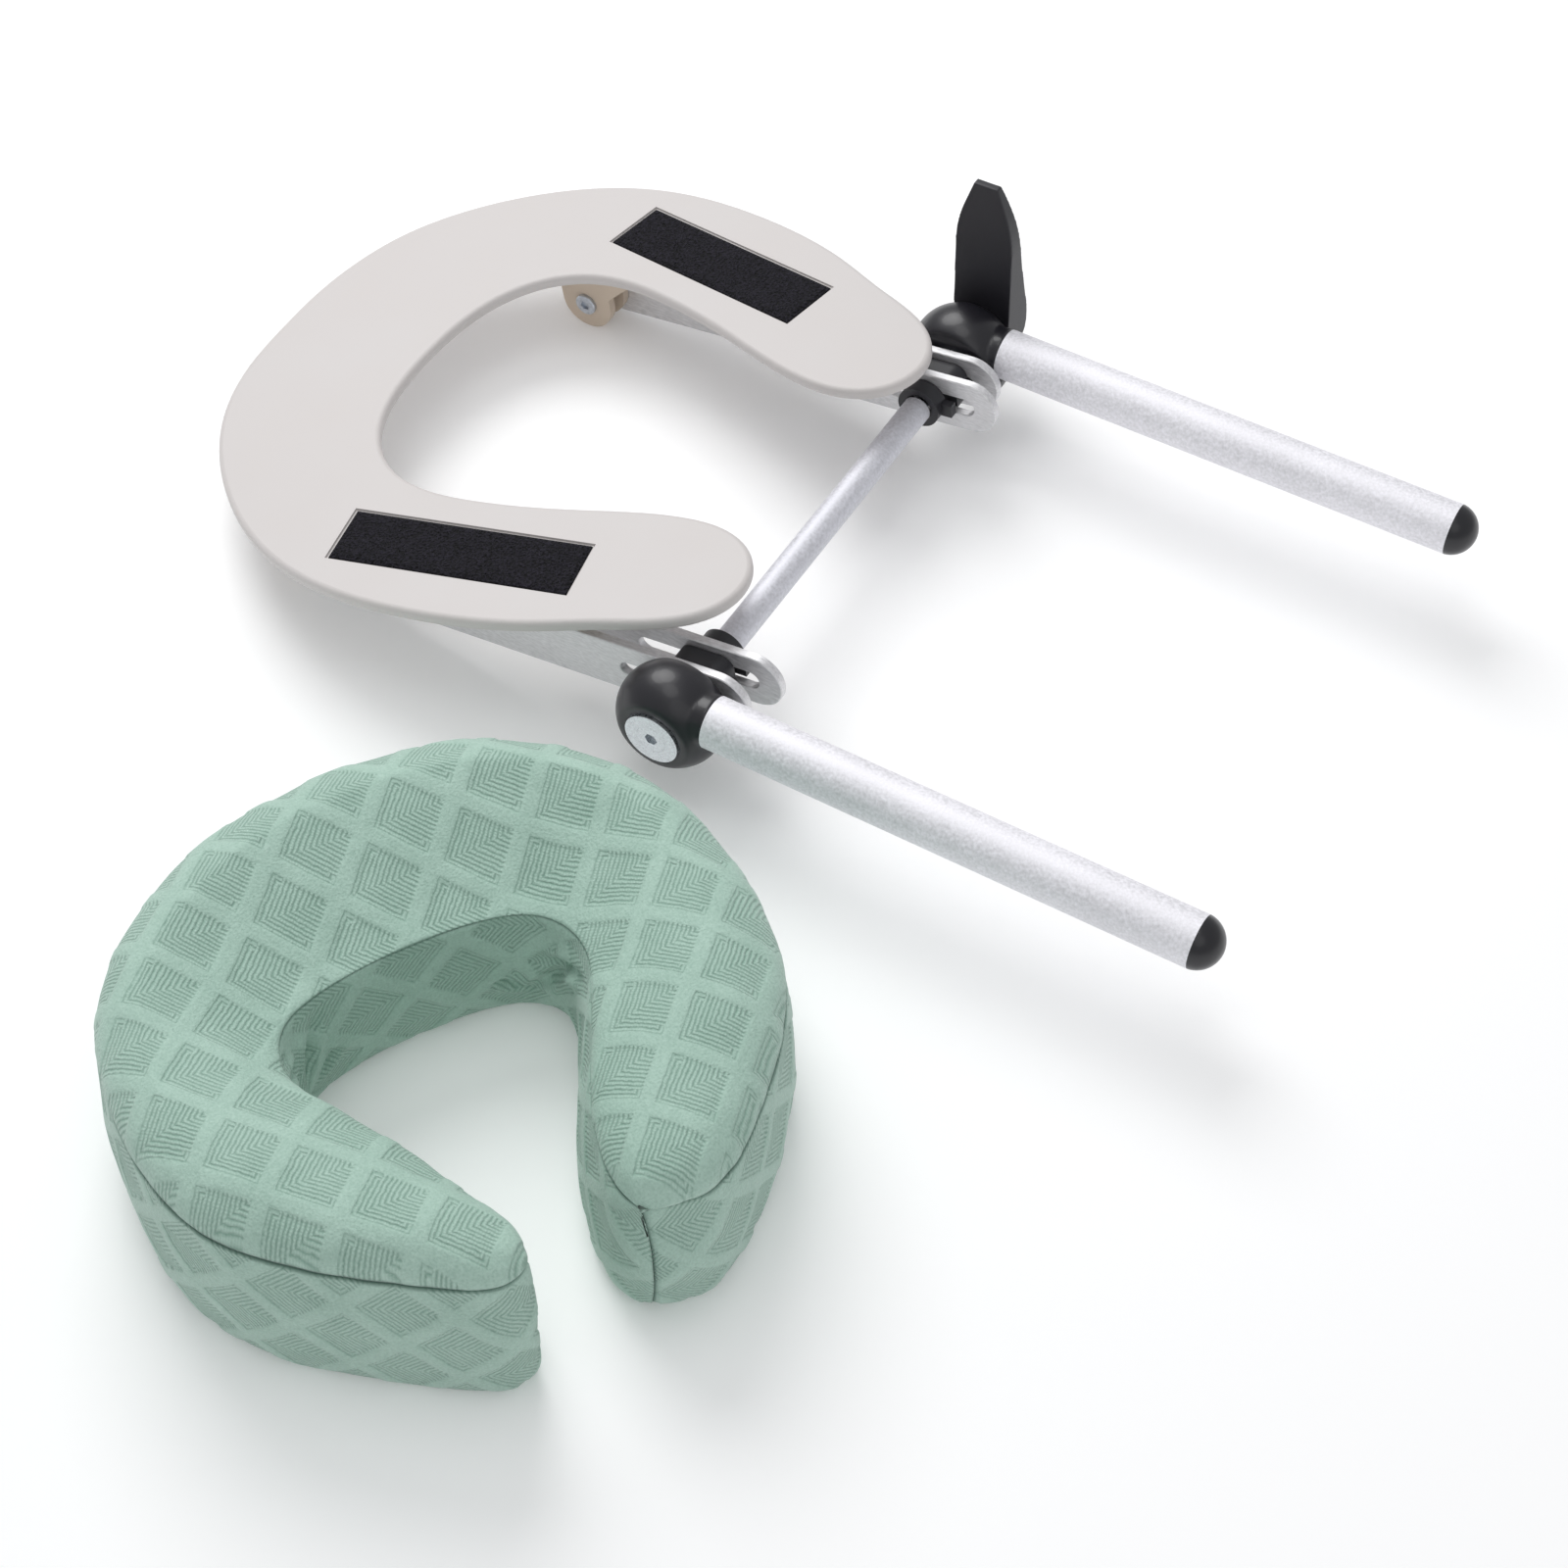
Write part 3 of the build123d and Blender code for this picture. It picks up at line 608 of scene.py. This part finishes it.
def close_up(mesh):
    """Joins the tips' doubled points and leaves one closed surface."""
    work = bmesh.new()
    work.from_mesh(mesh)
    bmesh.ops.remove_doubles(work, verts=work.verts, dist=0.05 * MM)
    bmesh.ops.dissolve_degenerate(work, edges=work.edges, dist=0.01 * MM)
    bmesh.ops.holes_fill(work, edges=work.edges, sides=0)
    bmesh.ops.recalc_face_normals(work, faces=work.faces)
    work.to_mesh(mesh)
    work.free()


def make_cushion():
    grid = cushion_grid()
    moved = padded_surface(grid)
    stations, rows = grid.shape[:2]
    number = np.arange(stations * rows).reshape(stations, rows)
    next_row = np.roll(number, -1, axis=1)
    faces = np.stack([number[:-1], next_row[:-1], next_row[1:], number[1:]], axis=2).reshape(-1, 4)
    mesh = bpy.data.meshes.new("face_cushion")
    mesh.from_pydata((moved.reshape(-1, 3) * MM).tolist(), [], faces.tolist())
    attribute = mesh.attributes.new("weave", "FLOAT_VECTOR", "POINT")
    attribute.data.foreach_set("vector", grid[:, :, 3:6].reshape(-1).astype(np.float32))
    close_up(mesh)
    return add_object("face_cushion", mesh, to_cushion)


def make_hook_strip(side):
    """A strip of hook tape: a woven base with a flat border and rows of stiff hooks."""
    length, width = STRIP_SIZE
    xs, ys = (np.linspace(-size / 2, size / 2, count) for size, count in zip(STRIP_SIZE, STRIP_GRID))
    x, y = np.meshgrid(xs, ys, indexing="ij")
    border = np.minimum(length / 2 - np.abs(x), width / 2 - np.abs(y))
    pile = np.clip((border - 1.1) / 0.5, 0, 1)
    hooks_x = np.abs(np.sin(x * 2 * math.pi / 2.1))
    hooks_y = np.abs(np.sin(y * 2 * math.pi / 1.9 + np.floor(x / 1.05) * 1.3))
    rough = [noise.noise(Vector((a, b, side)) * 1.1) for a, b in zip(x.flat, y.flat)]
    rough = np.array(rough).reshape(x.shape)
    height = 0.75 + pile * (0.55 + 0.30 * hooks_x * hooks_y + 0.28 * rough) - 0.75 * (border < 0.05)
    points = np.stack([x, y, height], axis=2).reshape(-1, 3)
    number = np.arange(x.size).reshape(x.shape)
    faces = np.stack([number[:-1, :-1], number[1:, :-1], number[1:, 1:], number[:-1, 1:]], axis=2)
    rim = [*number[:, 0], *number[-1, 1:], *number[-2::-1, -1], *number[0, -2:0:-1]]
    underside = [int(n) for n in reversed(rim)]
    mesh = bpy.data.meshes.new("hook_tape")
    mesh.from_pydata((points * MM).tolist(), [], faces.reshape(-1, 4).tolist() + [underside])
    place = Matrix.Translation(Vector((STRIP_PLACE[0], side * STRIP_PLACE[1], STRIP_PLACE[2])) * MM)
    turn = Matrix.Rotation(math.radians(-side * STRIP_TURN), 4, "Z")
    return add_object("hook_tape_" + ("far" if side > 0 else "near"), mesh, to_struts @ place @ turn)


# ---- materials on the frame -----------------------------------------------
SAGE_DARK = (0.12, 0.245, 0.184)
SAGE_LIGHT = (0.49, 0.668, 0.58)
SAGE_SEAM = (0.05, 0.12, 0.088)
materials = {
    "satin_aluminium": metal("satin_aluminium", (0.97, 0.96, 1.0), 0.66, 1.3, (1, 1, 1), 0.06, 0.5),
    "tube_aluminium": metal("tube_aluminium", (0.78, 0.78, 0.83), 0.60, 1.3, (1, 1, 1), 0.05, 0.6),
    "plate_aluminium": metal("plate_aluminium", (0.84, 0.835, 0.85), 0.48, 0.8, (0.25, 1, 1), 0.04, 0.8),
    "bright_steel": metal("bright_steel", (0.78, 0.80, 0.84), 0.28, 1.2, (1, 1, 1), 0.01),
    "zinc_steel": metal("zinc_steel", (0.62, 0.66, 0.72), 0.32, 1.5, (1, 1, 1), 0.02),
    "zip_metal": metal("zip_metal", (0.70, 0.70, 0.73), 0.30, 1.0, (1, 1, 1), 0.02),
    "black_hub": plastic("black_hub", (0.009, 0.0085, 0.012), 0.36, 1.0, 0.02, 1.7, 0.15),
    "black_lever": plastic("black_lever", (0.014, 0.0135, 0.018), 0.48, 0.8, 0.03, 1.7),
    "black_fitting": plastic("black_fitting", (0.014, 0.014, 0.017), 0.42, 0.8, 0.03),
    "black_cap": plastic("black_cap", (0.010, 0.010, 0.013), 0.30, 1.5, 0.02, 1.6, 0.1),
    "tan_bracket": plastic("tan_bracket", (0.60, 0.50, 0.40), 0.45, 0.9, 0.03, 1.12),
    "cream_board": board("cream_board", (0.595, 0.572, 0.565)),
    "hook_tape": hook_material("hook_tape"),
    "foam": foam_material("foam"),
    "sage_knit": jacquard("sage_knit", SAGE_DARK, SAGE_LIGHT, SAGE_SEAM),
    "base_cloth": plain_cloth("base_cloth", (0.16, 0.32, 0.24), (0.30, 0.50, 0.40), 0.8),
    "loop_tape": plain_cloth("loop_tape", (0.14, 0.28, 0.21), (0.28, 0.46, 0.37), 0.5),
    "zip_cloth": plain_cloth("zip_cloth", (0.15, 0.30, 0.22), (0.28, 0.47, 0.37), 0.6),
}
for subpart in frame["record"]["subparts"]:
    dress(frame["nodes"][subpart["node"]], materials[subpart["material_slot"]])

cushion = make_cushion()
dress(cushion, materials["sage_knit"], "cushion",
      ("foam_core", "top_panel", "outer_band", "inner_band", "base_panel"))

lever = softened("cam_lever", 0.45, 5)
dress(lever, materials["black_lever"], "lever", ("cam_lever",))
for side_name, side_sign in (("near", -1), ("far", 1)):
    tape = make_hook_strip(side_sign)
    dress(tape, materials["hook_tape"], "platform", (side_name + "_hook_strip",))
    hub = softened(side_name + "_hub", 0.7, 14)
    dress(hub, materials["black_hub"], "posts", (side_name + "_hub",))


# ---- floor, lights and camera ---------------------------------------------
def add_floor():
    bpy.ops.mesh.primitive_plane_add(size=30, location=(0, 0, -0.0002))
    floor = bpy.context.object
    floor.name = "floor"
    made = Material("pale_floor")
    made.set(Roughness=0.9, Specular_IOR_Level=0.1)
    made.colours(made.noise(400.0, 2.0), (0.93, 0.93, 0.93), (0.95, 0.95, 0.95))
    made.set(Emission_Color=(1, 1, 1, 1), Emission_Strength=0.10)
    floor.data.materials.append(made.made)


def add_light(name, place, size, power, target=(0, 0, 0.03)):
    lamp = bpy.data.lights.new(name, "AREA")
    lamp.shape = "DISK"
    lamp.size = size
    lamp.energy = power
    made = bpy.data.objects.new(name, lamp)
    made.location = place
    made.rotation_euler = (Vector(place) - Vector(target)).to_track_quat("Z", "Y").to_euler()
    bpy.context.scene.collection.objects.link(made)


def add_camera():
    azimuth, elevation = math.radians(CAMERA_AZIMUTH), math.radians(CAMERA_ELEVATION)
    level = math.cos(elevation)
    back = Vector((level * math.cos(azimuth), level * math.sin(azimuth), math.sin(elevation)))
    right = Vector((-math.sin(azimuth), math.cos(azimuth), 0))
    turn = Matrix((right, back.cross(right), back)).transposed().to_4x4()
    roll = Matrix.Rotation(math.radians(CAMERA_ROLL), 4, "Z")
    camera = bpy.data.objects.new("camera", bpy.data.cameras.new("camera"))
    camera.matrix_world = Matrix.Translation(CAMERA_PLACE) @ turn @ roll
    camera.data.lens = CAMERA_LENS
    camera.data.sensor_width = 36.0
    camera.data.clip_start = 0.01
    bpy.context.scene.collection.objects.link(camera)
    bpy.context.scene.camera = camera


def add_world():
    world = bpy.data.worlds.new("studio")
    world.use_nodes = True
    background = world.node_tree.nodes["Background"]
    background.inputs["Color"].default_value = (0.97, 0.98, 1.0, 1)
    background.inputs["Strength"].default_value = 0.50
    bpy.context.scene.world = world
    bpy.context.scene.view_settings.view_transform = "Standard"


add_floor()
add_light("key", (-0.95, 0.75, 1.45), 1.3, 20.0)
add_light("fill", (0.9, -0.9, 1.5), 1.4, 2.6)
add_light("top", (-0.1, -0.1, 1.9), 1.0, 4.6)
add_camera()
add_world()
